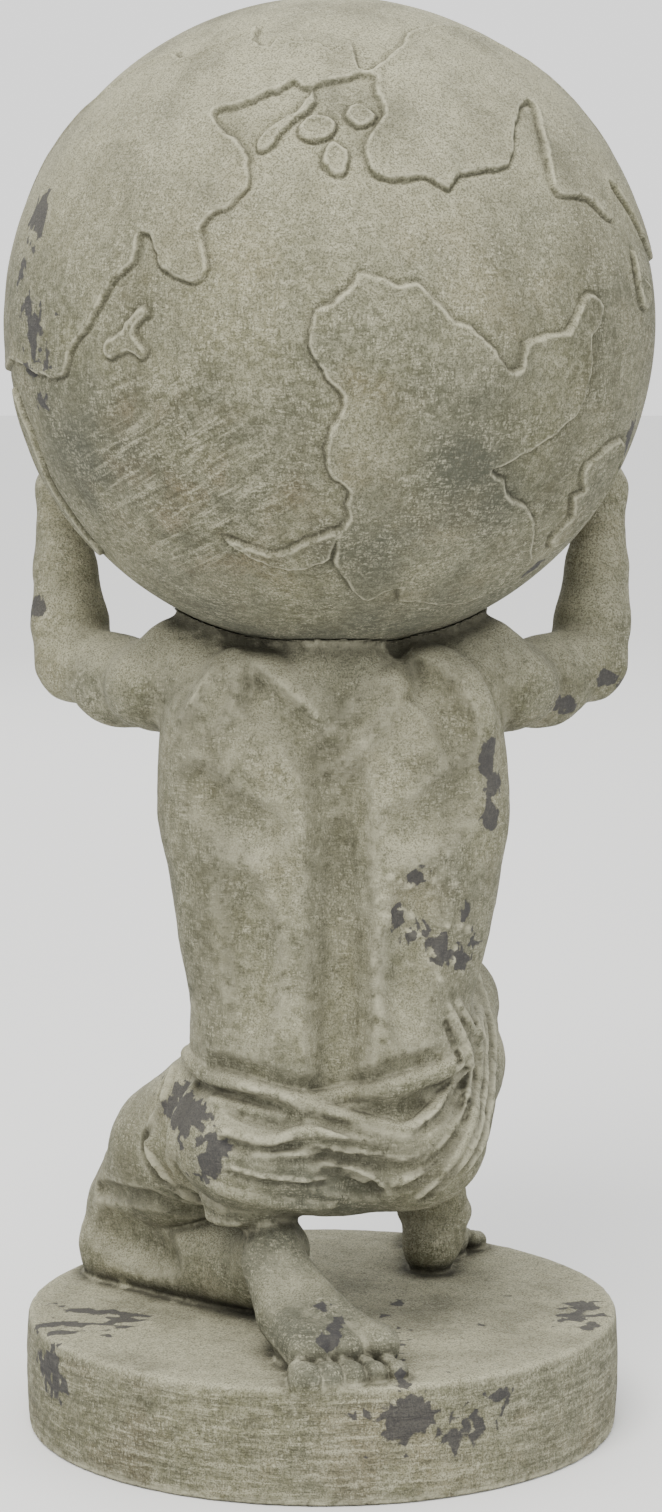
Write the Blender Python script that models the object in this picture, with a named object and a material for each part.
"""Garden statue in cast stone: a kneeling figure on a round base carries a map globe.

Metres, +Z up. The underside of the base is centred on the origin and the figure faces +Y.
"""

import math

import bmesh
import bpy
import numpy as np
from mathutils import Euler, Matrix, Vector

# Driving sizes
BASE_RADIUS = 0.1368
BASE_HEIGHT = 0.0527
BASE_SIDES = 72
BASE_BULGE = 0.0012
BASE_FOOT_CHAMFER = 0.003
BASE_RIM_ROUND = 0.004
GLOBE_RADIUS = 0.145
TOTAL_HEIGHT = 0.650
MIDDLE_X = 0.004
LAND_RAISE = 0.0016
COAST_WIDTH_DEG = 1.2
JOINT_GAP = 0.0004
VOXEL = 0.0018
SMOOTHING_ROUNDS = 8
FIGURE_KEEP_RATIO = 0.0143
GLOBE_KEEP_RATIO = 0.052
HEAD_BOW_DEG = 35.0

# The figure is drawn between these two points and scaled to the room between base and globe
DRAWN_STAND = (0.004, 0.0, 0.0527)
DRAWN_GLOBE_FOOT = (0.004, 0.0, 0.3600)
MIDDLE = DRAWN_STAND[0]

# Places that follow from the sizes
GLOBE_CENTRE = Vector((MIDDLE_X, 0.0, TOTAL_HEIGHT - GLOBE_RADIUS))
ROOM_FOR_FIGURE = TOTAL_HEIGHT - 2 * GLOBE_RADIUS - BASE_HEIGHT
FIGURE_SCALE = ROOM_FOR_FIGURE / (DRAWN_GLOBE_FOOT[2] - DRAWN_STAND[2])
FIGURE_PLACE = (
    Matrix.Translation((MIDDLE_X, 0.0, BASE_HEIGHT))
    @ Matrix.Scale(FIGURE_SCALE, 4)
    @ Matrix.Translation([-part for part in DRAWN_STAND])
)


def on_globe(longitude, latitude, lift, side):
    """The drawn place of a point over the globe, longitude counted from the back to one side."""
    around = math.radians(longitude)
    rise = math.radians(latitude)
    level = math.cos(rise)
    way = Vector((side * level * math.sin(around), -level * math.cos(around), math.sin(rise)))
    reach = GLOBE_RADIUS + lift * FIGURE_SCALE
    return FIGURE_PLACE.inverted() @ (GLOBE_CENTRE + reach * way)


HEAD_CENTRE = on_globe(180, -57.7, 0.0384, 1)


def clear_scene():
    for thing in list(bpy.data.objects):
        bpy.data.objects.remove(thing, do_unlink=True)


def make_object(name, bm):
    mesh = bpy.data.meshes.new(name)
    bm.normal_update()
    bm.to_mesh(mesh)
    bm.free()
    made = bpy.data.objects.new(name, mesh)
    bpy.context.scene.collection.objects.link(made)
    return made


def stone(name, colour, roughness):
    material = bpy.data.materials.new(name)
    material.use_nodes = True
    shader = material.node_tree.nodes["Principled BSDF"]
    shader.inputs["Base Color"].default_value = (*colour, 1.0)
    shader.inputs["Roughness"].default_value = roughness
    shader.inputs["Metallic"].default_value = 0.0
    return material


def primitive_form(create, **sizes):
    """Corner points and faces of one of Blender's primitives."""
    bm = bmesh.new()
    create(bm, **sizes)
    points = np.array([vertex.co[:] for vertex in bm.verts])
    faces = [[vertex.index for vertex in face.verts] for face in bm.faces]
    bm.free()
    return points, faces


UNIT_BALL = primitive_form(bmesh.ops.create_uvsphere, u_segments=24, v_segments=16, radius=1.0)
UNIT_TUBE = primitive_form(
    bmesh.ops.create_cone, cap_ends=True, segments=18, radius1=1.0, radius2=1.0, depth=1.0
)


def placed(points, place):
    place = np.array(place)
    return points @ place[:3, :3].T + place[:3, 3]


def add_ball(forms, centre, radii, tilt_deg=(0.0, 0.0, 0.0)):
    """An ellipsoid, tilted about its own centre."""
    turn = Euler([math.radians(angle) for angle in tilt_deg]).to_matrix().to_4x4()
    place = FIGURE_PLACE @ Matrix.Translation(centre) @ turn @ Matrix.Diagonal((*radii, 1.0))
    points, faces = UNIT_BALL
    forms.append((placed(points, place), faces))


def add_limb(forms, path):
    """A rounded limb through points given as x, y, z, radius."""
    for x, y, z, radius in path:
        add_ball(forms, (x, y, z), (radius, radius, radius))
    for start, end in zip(path, path[1:]):
        first = Vector(start[:3])
        along = Vector(end[:3]) - first
        turn = along.to_track_quat("Z", "Y").to_matrix().to_4x4()
        place = FIGURE_PLACE @ Matrix.Translation(first + along / 2) @ turn
        points, faces = UNIT_TUBE
        width = np.where(points[:, 2:] < 0, start[3], end[3])
        tapered = points * np.concatenate([width, width, np.full_like(width, along.length)], axis=1)
        forms.append((placed(tapered, place), faces))


def add_ball_pair(forms, centre, radii, tilt_deg=(0.0, 0.0, 0.0)):
    """The same ellipsoid on both sides of the middle, x counted outwards from it."""
    for side in (-1, 1):
        place = (MIDDLE + side * centre[0], centre[1], centre[2])
        add_ball(forms, place, radii, (tilt_deg[0], side * tilt_deg[1], side * tilt_deg[2]))


def add_limb_pair(forms, path):
    for side in (-1, 1):
        add_limb(forms, [(MIDDLE + side * x, y, z, radius) for x, y, z, radius in path])


# Torso
def add_torso(forms):
    chest = MIDDLE + 0.0015
    add_ball(forms, (chest, -0.014, 0.268), (0.070, 0.048, 0.082))
    add_ball(forms, (chest - 0.0465, -0.026, 0.274), (0.0285, 0.036, 0.070), (0, -6, 0))
    add_ball(forms, (chest + 0.0475, -0.026, 0.272), (0.0285, 0.036, 0.072), (0, 5, 0))
    add_limb_pair(forms, [(0.0510, -0.026, 0.290, 0.0260), (0.0535, -0.020, 0.343, 0.0230)])
    add_ball_pair(forms, (0.040, -0.043, 0.322), (0.030, 0.020, 0.032))
    add_ball(forms, (MIDDLE, -0.036, 0.334), (0.034, 0.026, 0.040))
    add_ball(forms, (MIDDLE, -0.030, 0.192), (0.0555, 0.042, 0.050))
    add_ball(forms, (MIDDLE, -0.033, 0.176), (0.0590, 0.045, 0.024))
    add_ball_pair(forms, (0.0420, -0.028, 0.228), (0.0220, 0.033, 0.034))
    add_ball_pair(forms, (0.0400, -0.030, 0.188), (0.0200, 0.034, 0.025))
    add_ball(forms, (MIDDLE, -0.006, 0.205), (0.044, 0.032, 0.062))
    add_ball_pair(forms, (0.034, 0.022, 0.298), (0.037, 0.022, 0.028), (0, 8, 0))
    add_ball_pair(forms, (0.030, -0.028, 0.264), (0.037, 0.0445, 0.086))
    add_ball_pair(forms, (0.027, -0.032, 0.198), (0.032, 0.0440, 0.060))
    back_muscle = [
        (0.016, -0.042, 0.310, 0.022),
        (0.018, -0.050, 0.240, 0.023),
        (0.019, -0.053, 0.190, 0.024),
        (0.017, -0.058, 0.160, 0.022),
    ]
    add_limb_pair(forms, back_muscle)


# Shoulders, neck and arms raised to the globe
def add_arms(forms):
    neck_end = HEAD_CENTRE + Vector((0, -0.030, -0.008))
    add_limb(forms, [(MIDDLE, 0.000, 0.338, 0.031), (*neck_end, 0.025)])
    add_limb_pair(forms, [(0.0, -0.010, 0.345, 0.028), (0.066, -0.004, 0.3505, 0.0235)])
    add_ball_pair(forms, (0.076, 0.000, 0.343), (0.027, 0.028, 0.0215), (0, 12, 20))
    upper_arm = [
        (0.066, -0.004, 0.342, 0.0215),
        (0.096, 0.026, 0.3405, 0.0200),
        (0.1195, 0.050, 0.347, 0.0175),
        (0.1215, 0.056, 0.364, 0.0178),
    ]
    for side in (-1, 1):
        arm = [(MIDDLE + side * x, y, z, radius) for x, y, z, radius in upper_arm]
        wrist = (*on_globe(121.7, -28.5, 0.0245, side), 0.0112)
        add_limb(forms, [*arm, (*on_globe(118.0, -39.8, 0.0378, side), 0.0148), wrist])
        add_hand(forms, side, wrist)


def add_hand(forms, side, wrist):
    """Palm, four fingers and thumb laid against the globe."""
    palm = (*on_globe(128, -20, 0.010, side), 0.0125)
    add_limb(forms, [wrist, palm])
    for finger in range(4):
        across = finger - 1.5
        reach = (-0.5, 1.6, 2.2, 0.6)[finger]
        root = (*on_globe(130.5 + 3.2 * across, -18.0, 0.0085, side), 0.0098)
        knuckle = (*on_globe(133.5 + 3.9 * across, -10 + 0.3 * reach, 0.0080, side), 0.0076)
        middle = (*on_globe(136 + 4.7 * across, -3 + 0.7 * reach, 0.0075, side), 0.0064)
        tip = (*on_globe(138 + 5.2 * across, 3.5 + reach, 0.0045, side), 0.0054)
        add_limb(forms, [root, knuckle, middle, tip])
    ball = (*on_globe(124, -18, 0.0090, side), 0.0095)
    joint = (*on_globe(117.5, -13, 0.0085, side), 0.0074)
    end = (*on_globe(113.5, -7.5, 0.0060, side), 0.0058)
    add_limb(forms, [palm, ball, joint, end])


# Hips and the three thigh and shin segments
def add_legs(forms):
    for centre, radii in HIP_FORMS:
        add_ball(forms, centre, radii)
    left_knee = (-0.084, 0.060, 0.083, 0.0275)
    right_knee = (0.0575, 0.098, 0.1735, 0.0265)
    add_limb(forms, [(-0.040, -0.018, 0.149, 0.0345), (-0.064, 0.018, 0.121, 0.0340), left_knee])
    add_limb(forms, [(0.042, -0.020, 0.146, 0.035), (0.052, 0.040, 0.158, 0.032), right_knee])
    add_limb(
        forms,
        [
            left_knee,
            (-0.089, 0.056, 0.066, 0.0265),
            (-0.053, 0.020, 0.072, 0.0265),
            (-0.026, -0.018, 0.074, 0.019),
            (-0.0215, -0.040, 0.089, 0.0165),
        ],
    )
    add_limb(
        forms,
        [
            right_knee,
            (0.0550, 0.092, 0.145, 0.0205),
            (0.0520, 0.072, 0.116, 0.0160),
            (0.0530, 0.062, 0.088, 0.0145),
            (0.0530, 0.062, 0.070, 0.0140),
        ],
    )


# The foot tucked behind, sole up, its toes on the rim
def add_tucked_foot(forms):
    heel = (-0.0215, -0.053, 0.0935)
    ball = (0.0100, -0.107, 0.0635)
    add_ball(forms, heel, (0.0115, 0.0125, 0.0125))
    for sideways in (-1, 0, 1):
        start = (heel[0] + 0.004 * sideways, heel[1] - 0.002, heel[2] - 0.008, 0.0100)
        middle = (-0.008 + 0.0095 * sideways, -0.080, 0.0700, 0.0112)
        end = (ball[0] + 0.015 * sideways, ball[1] + 0.006 * sideways, ball[2] - 0.002, 0.0095)
        floor = (ball[0] + 0.013 * sideways - 0.004, -0.098, 0.049, 0.011)
        add_limb(forms, [start, middle, end])
        add_limb(forms, [start, floor])
    for toe in range(5):
        across = (toe - 2) * 0.0092
        radius = 0.0052 + 0.0007 * (4 - toe)
        root = (ball[0] + across, ball[1] + 0.35 * across - 0.006, 0.058, radius)
        tip = (ball[0] + 1.05 * across + 0.003, ball[1] + 0.35 * across - 0.0175, 0.0565, radius)
        add_limb(forms, [root, tip])


# The foot planted flat beside it
def add_planted_foot(forms):
    add_ball(forms, (0.0515, 0.058, 0.065), (0.0135, 0.0145, 0.0135))
    instep = [(0.0530, 0.062, 0.072, 0.0138), (0.058, 0.086, 0.0615, 0.0115), (0.0605, 0.100, 0.059, 0.0105)]
    add_limb(forms, instep)
    add_limb(forms, [(0.0510, 0.062, 0.060, 0.010), (0.0540, 0.097, 0.058, 0.0095)])
    for toe in range(5):
        across = (toe - 2) * 0.0075
        radius = 0.0046 + 0.0007 * (4 - toe)
        root = (0.0590 + 0.88 * across, 0.100 - 0.34 * across, 0.058, radius)
        tip = (0.0615 + 0.88 * across, 0.114 - 0.38 * across - 0.002 * toe, 0.0565, radius)
        add_limb(forms, [root, tip])


# Loincloth
HIP_FORMS = (
    ((MIDDLE, -0.036, 0.145), (0.060, 0.047, 0.036)),
    ((MIDDLE - 0.032, -0.046, 0.142), (0.036, 0.036, 0.0285)),
    ((MIDDLE + 0.032, -0.046, 0.142), (0.035, 0.036, 0.0285)),
)

# Fold crests over the back of the hips as x and z, most of them gathered at the right hip
BACK_FOLDS = (
    ((0.067, 0.168), (0.053, 0.1585), (0.038, 0.1500), (0.014, 0.1530), (-0.012, 0.1530), (-0.040, 0.1530)),
    ((0.068, 0.163), (0.058, 0.1525), (0.047, 0.1475), (0.038, 0.1435), (0.014, 0.1460), (-0.007, 0.1500)),
    ((0.068, 0.158), (0.062, 0.1450), (0.050, 0.1360), (0.027, 0.1370), (0.001, 0.1410)),
    ((0.066, 0.150), (0.060, 0.1360), (0.046, 0.1260), (0.026, 0.1265), (0.000, 0.1320)),
    ((-0.052, 0.160), (-0.048, 0.1400), (-0.036, 0.1260), (-0.018, 0.1170)),
)


def back_of_hips(x, z):
    """The rearmost y of the hips at this x and z, and a side value where the ray misses them."""
    found = -0.020
    for centre, radii in HIP_FORMS:
        left_over = 1 - ((x - centre[0]) / radii[0]) ** 2 - ((z - centre[2]) / radii[2]) ** 2
        if left_over > 0:
            found = min(found, centre[1] - radii[1] * math.sqrt(left_over))
    return found


def add_fold(forms, places, radius):
    """A cloth fold that lies on the back of the hips, thinner towards its end."""
    path = []
    for index, (x, z) in enumerate(places):
        size = radius * (1 - 0.45 * index / (len(places) - 1))
        path.append((x, back_of_hips(x, z) - 0.2 * size, z, size))
    add_limb(forms, path)


def add_cloth(forms):
    cloth_over_skin = 0.0032
    for centre, radii in HIP_FORMS:
        add_ball(forms, centre, [radius + cloth_over_skin for radius in radii])
    waist_roll = []
    for step in range(25):
        angle = math.tau * step / 24
        height = 0.1725 + 0.0060 * math.sin(angle) + 0.0030 * math.cos(angle)
        waist_roll.append(
            (MIDDLE + 0.0575 * math.cos(angle), -0.032 + 0.0480 * math.sin(angle), height, 0.0062)
        )
    add_limb(forms, waist_roll)
    add_ball(forms, (0.0600, -0.020, 0.182), (0.0115, 0.020, 0.021))
    for fold in BACK_FOLDS:
        add_fold(forms, fold, 0.0058)
    add_thigh_cloth(forms)


def add_thigh_cloth(forms):
    """Cloth over both thighs, hanging beside the raised one and in a short flap between them."""
    add_ball(forms, (0.0500, 0.026, 0.146), (0.0285, 0.044, 0.0255))
    left = ((-0.050, -0.022, 0.146), (-0.074, 0.008, 0.128), (-0.088, 0.030, 0.104), (-0.086, 0.034, 0.080))
    for drop in range(3):
        share = drop / 2
        fold = []
        for x, y, z in left:
            fold.append((x + 0.020 * share, y - 0.026 * share, z - 0.016 * share, 0.0085))
        add_limb(forms, fold)
    for fold in range(4):
        share = fold / 3
        x = MIDDLE - 0.030 + 0.056 * share
        add_limb(
            forms,
            [
                (x, 0.010, 0.178, 0.008),
                (x - 0.004, 0.034, 0.150, 0.0085),
                (x - 0.010, 0.046, 0.112 + 0.012 * share, 0.0075),
            ],
        )
    for fold in range(3):
        share = fold / 2
        add_limb(
            forms,
            [
                (0.050 + 0.012 * share, -0.012 + 0.046 * share, 0.178 + 0.006 * share, 0.0065),
                (0.073, -0.004 + 0.040 * share, 0.155 + 0.003 * share, 0.0062),
                (0.064, 0.004 + 0.036 * share, 0.130, 0.0050),
            ],
        )


# The bowed head, in its own axes: across, forwards out of the face, up to the crown
def head_place(across, forwards, up):
    bow = math.radians(HEAD_BOW_DEG)
    crown_way = Vector((0, math.sin(bow), math.cos(bow)))
    face_way = Vector((0, math.cos(bow), -math.sin(bow)))
    return HEAD_CENTRE + Vector((across, 0, 0)) + face_way * forwards + crown_way * up


def add_head_ball(forms, place, radii):
    add_ball(forms, head_place(*place), radii, (-HEAD_BOW_DEG, 0, 0))


def add_head_limb(forms, path):
    add_limb(forms, [(*head_place(*point[:3]), point[3]) for point in path])


def add_head(forms):
    add_head_ball(forms, (0, -0.006, 0.012), (0.0295, 0.0345, 0.031))
    add_head_ball(forms, (0, 0.007, -0.009), (0.0245, 0.0255, 0.035))
    add_head_ball(forms, (0, 0.010, -0.027), (0.0190, 0.0195, 0.015))
    brow = [(-0.016, 0.024, 0.007, 0.0048), (0, 0.029, 0.006, 0.0050), (0.016, 0.024, 0.007, 0.0048)]
    add_head_limb(forms, brow)
    add_head_limb(forms, [(0, 0.031, 0.003, 0.0032), (0, 0.0375, -0.009, 0.0045)])
    for side in (-1, 1):
        add_head_ball(forms, (side * 0.0145, 0.021, -0.010), (0.008, 0.008, 0.009))
        add_head_ball(forms, (side * 0.0042, 0.034, -0.0095), (0.0032, 0.0040, 0.0032))
    add_head_ball(forms, (0, 0.0315, -0.0195), (0.0085, 0.0048, 0.0042))
    add_hair(forms)


def add_hair(forms):
    """Short curls round the crown and a full short beard."""
    for row in range(4):
        height = 0.034 - 0.013 * row
        around = 0.0175 + 0.0055 * row
        count = 9 + 2 * row
        for step in range(count):
            angle = math.radians(-62 + (304 / (count - 1)) * step)
            place = (around * math.cos(angle), -0.008 - around * 1.08 * math.sin(angle), height)
            add_head_ball(forms, place, (0.0085, 0.0085, 0.0085))
    for step in range(9):
        angle = math.radians(180 + 22.5 * step)
        side = math.cos(angle)
        depth = -math.sin(angle)
        start = (0.0215 * side, 0.006 + 0.017 * depth, -0.018 - 0.006 * depth, 0.0065)
        end = (0.0135 * side, 0.010 + 0.016 * depth, -0.040 - 0.008 * depth, 0.0058)
        add_head_limb(forms, [start, end])
    add_head_ball(forms, (0, 0.012, -0.036), (0.0150, 0.0150, 0.0130))


# Round base, turned from its profile
def make_base():
    top = BASE_HEIGHT
    profile = [
        (BASE_RADIUS - BASE_FOOT_CHAMFER, 0.0),
        (BASE_RADIUS - BASE_BULGE, BASE_FOOT_CHAMFER),
        (BASE_RADIUS, top * 0.45),
        (BASE_RADIUS - BASE_BULGE, top - BASE_RIM_ROUND),
        (BASE_RADIUS - BASE_BULGE - BASE_RIM_ROUND * 0.3, top - BASE_RIM_ROUND * 0.3),
        (BASE_RADIUS - BASE_BULGE - BASE_RIM_ROUND, top),
    ]
    bm = bmesh.new()
    rings = []
    for radius, height in profile:
        ring = []
        for step in range(BASE_SIDES):
            angle = math.tau * step / BASE_SIDES
            ring.append(bm.verts.new((radius * math.cos(angle), radius * math.sin(angle), height)))
        rings.append(ring)
    for lower, upper in zip(rings, rings[1:]):
        for step in range(BASE_SIDES):
            after = (step + 1) % BASE_SIDES
            bm.faces.new((lower[step], lower[after], upper[after], upper[step]))
    bm.faces.new(rings[0][::-1])
    bm.faces.new(rings[-1])
    return make_object("base_form", bm)


def make_globe_cutter():
    bm = bmesh.new()
    bmesh.ops.create_icosphere(
        bm, subdivisions=5, radius=GLOBE_RADIUS + JOINT_GAP, matrix=Matrix.Translation(GLOBE_CENTRE)
    )
    return make_object("globe_cutter", bm)


def as_guide(guide):
    guide.hide_render = True
    guide.display_type = "WIRE"


def combine(target, operand, operation):
    cut = target.modifiers.new(operation.lower(), "BOOLEAN")
    cut.operation = operation
    cut.solver = "EXACT"
    cut.object = operand


def joined(name, forms):
    """One mesh object that holds all the forms as they stand."""
    corners = []
    faces = []
    for points, form_faces in forms:
        first = sum(len(block) for block in corners)
        corners.append(points)
        faces.extend([[first + corner for corner in face] for face in form_faces])
    mesh = bpy.data.meshes.new(name)
    mesh.from_pydata(np.concatenate(corners).tolist(), [], faces)
    made = bpy.data.objects.new(name, mesh)
    bpy.context.scene.collection.objects.link(made)
    return made


def make_figure():
    forms = []
    add_torso(forms)
    add_arms(forms)
    add_legs(forms)
    add_tucked_foot(forms)
    add_planted_foot(forms)
    add_cloth(forms)
    add_head(forms)
    figure = joined("kneeling_figure_with_base", forms)
    skin = figure.modifiers.new("skin", "REMESH")
    skin.mode = "VOXEL"
    skin.voxel_size = VOXEL
    soften = figure.modifiers.new("soften", "SMOOTH")
    soften.factor = 0.5
    soften.iterations = SMOOTHING_ROUNDS
    thin = figure.modifiers.new("thin", "DECIMATE")
    thin.ratio = FIGURE_KEEP_RATIO
    base = make_base()
    cutter = make_globe_cutter()
    combine(figure, base, "UNION")
    combine(figure, cutter, "DIFFERENCE")
    as_guide(base)
    as_guide(cutter)
    figure.data.materials.append(stone("figure_stone", (0.36, 0.34, 0.28), 0.88))
    return figure


# Globe: land outlines as longitude and latitude in degrees, longitude 0 at the back of the figure
LANDS = {
    "middle_land": [
        (-3, 4), (1, 7), (5, 11), (11, 9.5), (15, 10), (21, 3.5), (26, 0), (31, -5), (34, -0.5),
        (39, 0.5), (44, 1), (49, 7), (53, 5), (50, -4), (48, -12), (41, -18), (31, -22), (35, -27),
        (45, -32), (50, -38), (56, -45), (48, -52), (34, -53), (22, -52), (16, -48), (8, -50),
        (1, -40), (3, -29), (1, -23), (-1, -17), (2, -9), (-3, -2),
    ],
    "left_land": [
        (-84, -6), (-64, -4), (-53, -5), (-44, 2.5), (-38, 11), (-35, 18), (-30, 12), (-23, 10),
        (-22, 16), (-21, 21), (-16, 25), (-17, 33), (-26, 40), (-20, 43), (-7, 46), (-5, 43),
        (-14, 33), (-9, 38), (-3, 47),
        (3, 51), (11, 50), (10, 46), (12, 41), (7, 35), (8, 28), (18, 28), (22, 26), (30, 29), (37, 30),
        (44, 38), (52, 42), (53, 36), (47, 25), (57, 23), (63, 20), (70, 26), (84, 14), (88, 26), (76, 52),
        (48, 70), (10, 76), (-30, 74), (-58, 62), (-78, 40), (-88, 16),
    ],
    "left_islet": [(-33, 5), (-34, 1), (-33, -3), (-41, -2.5), (-40, 0.5), (-36, 3.5)],
    "low_strip": [(-23, -35.5), (-13.5, -39), (-7, -36), (3, -32.5), (0, -40), (-12, -43)],
    "right_low": [(58, -21), (55, -26), (57, -33), (61, -40), (70, -36), (72, -26), (64, -22)],
    "right_islet": [(68.5, 13), (74, 9), (73, 4), (68, 6)],
}
ISLETS = {"north_islet": (6, 40, 3), "west_islet": (-3, 37.5, 3), "south_islet": (1, 31, 2.6)}
FAR_LANDS = {
    "far_great": (152, 18, 30),
    "far_low": (205, -22, 17),
    "far_west": (-112, -18, 15),
    "far_isle": (118, -34, 8),
}


def islet_outline(longitude, latitude, size):
    outline = []
    for step in range(8):
        angle = math.tau * step / 8
        outline.append((longitude + size * math.cos(angle), latitude + size * math.sin(angle)))
    return outline


def wavy_outline(longitude, latitude, size):
    """A plain coast for the side away from view: a round with bays and capes."""
    outline = []
    for step in range(28):
        angle = math.tau * step / 28
        bays = 0.22 * math.sin(3 * angle + size) + 0.12 * math.cos(5 * angle) + 0.06 * math.sin(9 * angle)
        reach = size * (1 + bays)
        across = reach * math.cos(angle) / math.cos(math.radians(latitude))
        outline.append((longitude + across, latitude + reach * math.sin(angle)))
    return outline


def all_outlines():
    outlines = list(LANDS.values())
    outlines += [islet_outline(*islet) for islet in ISLETS.values()]
    outlines += [wavy_outline(*land) for land in FAR_LANDS.values()]
    return outlines


def direction(longitude, latitude):
    """Unit vectors, longitude 0 along -Y and longitude 90 along +X."""
    longitude = np.radians(longitude)
    latitude = np.radians(latitude)
    level = np.cos(latitude)
    return np.stack([level * np.sin(longitude), -level * np.cos(longitude), np.sin(latitude)], axis=-1)


def flatten(points, centre):
    """Azimuthal chart about a centre, in degrees of arc."""
    east = np.cross((0.0, 0.0, 1.0), centre)
    east /= np.linalg.norm(east)
    north = np.cross(centre, east)
    away = np.degrees(np.arccos(np.clip(points @ centre, -1, 1)))
    sideways = np.stack([points @ east, points @ north], axis=-1)
    length = np.maximum(np.linalg.norm(sideways, axis=-1, keepdims=True), 1e-9)
    return sideways / length * away[:, None]


def inside_distance(points, outline):
    """Signed distance in degrees to a coast, positive on land."""
    corners = direction(*np.array(outline, dtype=float).T)
    centre = corners.mean(axis=0)
    centre /= np.linalg.norm(centre)
    reach = np.degrees(np.arccos(np.clip(corners @ centre, -1, 1))).max() + 2
    result = np.full(len(points), -90.0)
    near = points @ centre > math.cos(math.radians(min(reach, 179)))
    chart = flatten(points[near], centre)
    shape = flatten(corners, centre)
    nearest = np.full(len(chart), 1e9)
    within = np.zeros(len(chart), dtype=bool)
    for start, end in zip(shape, np.roll(shape, -1, axis=0)):
        edge = end - start
        share = np.clip((chart - start) @ edge / (edge @ edge), 0, 1)
        nearest = np.minimum(nearest, np.linalg.norm(chart - start - share[:, None] * edge, axis=1))
        crosses = (start[1] > chart[:, 1]) != (end[1] > chart[:, 1])
        rise = edge[1] if abs(edge[1]) > 1e-12 else 1e-12
        within ^= crosses & (chart[:, 0] < start[0] + (chart[:, 1] - start[1]) * edge[0] / rise)
    result[near] = np.where(within, nearest, -nearest)
    return result


def make_globe():
    bm = bmesh.new()
    bmesh.ops.create_icosphere(bm, subdivisions=7, radius=1.0)
    bm.verts.ensure_lookup_table()
    points = np.array([vertex.co[:] for vertex in bm.verts])
    land = np.full(len(points), -90.0)
    for outline in all_outlines():
        land = np.maximum(land, inside_distance(points, outline))
    share = np.clip(0.5 + land / COAST_WIDTH_DEG, 0, 1)
    clear_of_shoulders = np.clip((points[:, 2] - math.sin(math.radians(-59.3))) / 0.03, 0, 1)
    low_enough = points[:, 2] < math.sin(math.radians(10.5))
    under_hands = low_enough & (points[:, 1] > math.sin(math.radians(20.5)))
    clear_of_front = np.where(under_hands, 0.0, 1.0)
    raised = GLOBE_RADIUS + LAND_RAISE * share * clear_of_shoulders * clear_of_front
    for vertex, radius in zip(bm.verts, raised):
        vertex.co = GLOBE_CENTRE + vertex.co * float(radius)
    globe = make_object("globe", bm)
    thin = globe.modifiers.new("thin", "DECIMATE")
    thin.ratio = GLOBE_KEEP_RATIO
    for face in globe.data.polygons:
        face.use_smooth = True
    globe.data.materials.append(stone("globe_stone", (0.52, 0.49, 0.40), 0.85))
    return globe


clear_scene()
make_globe()
make_figure()
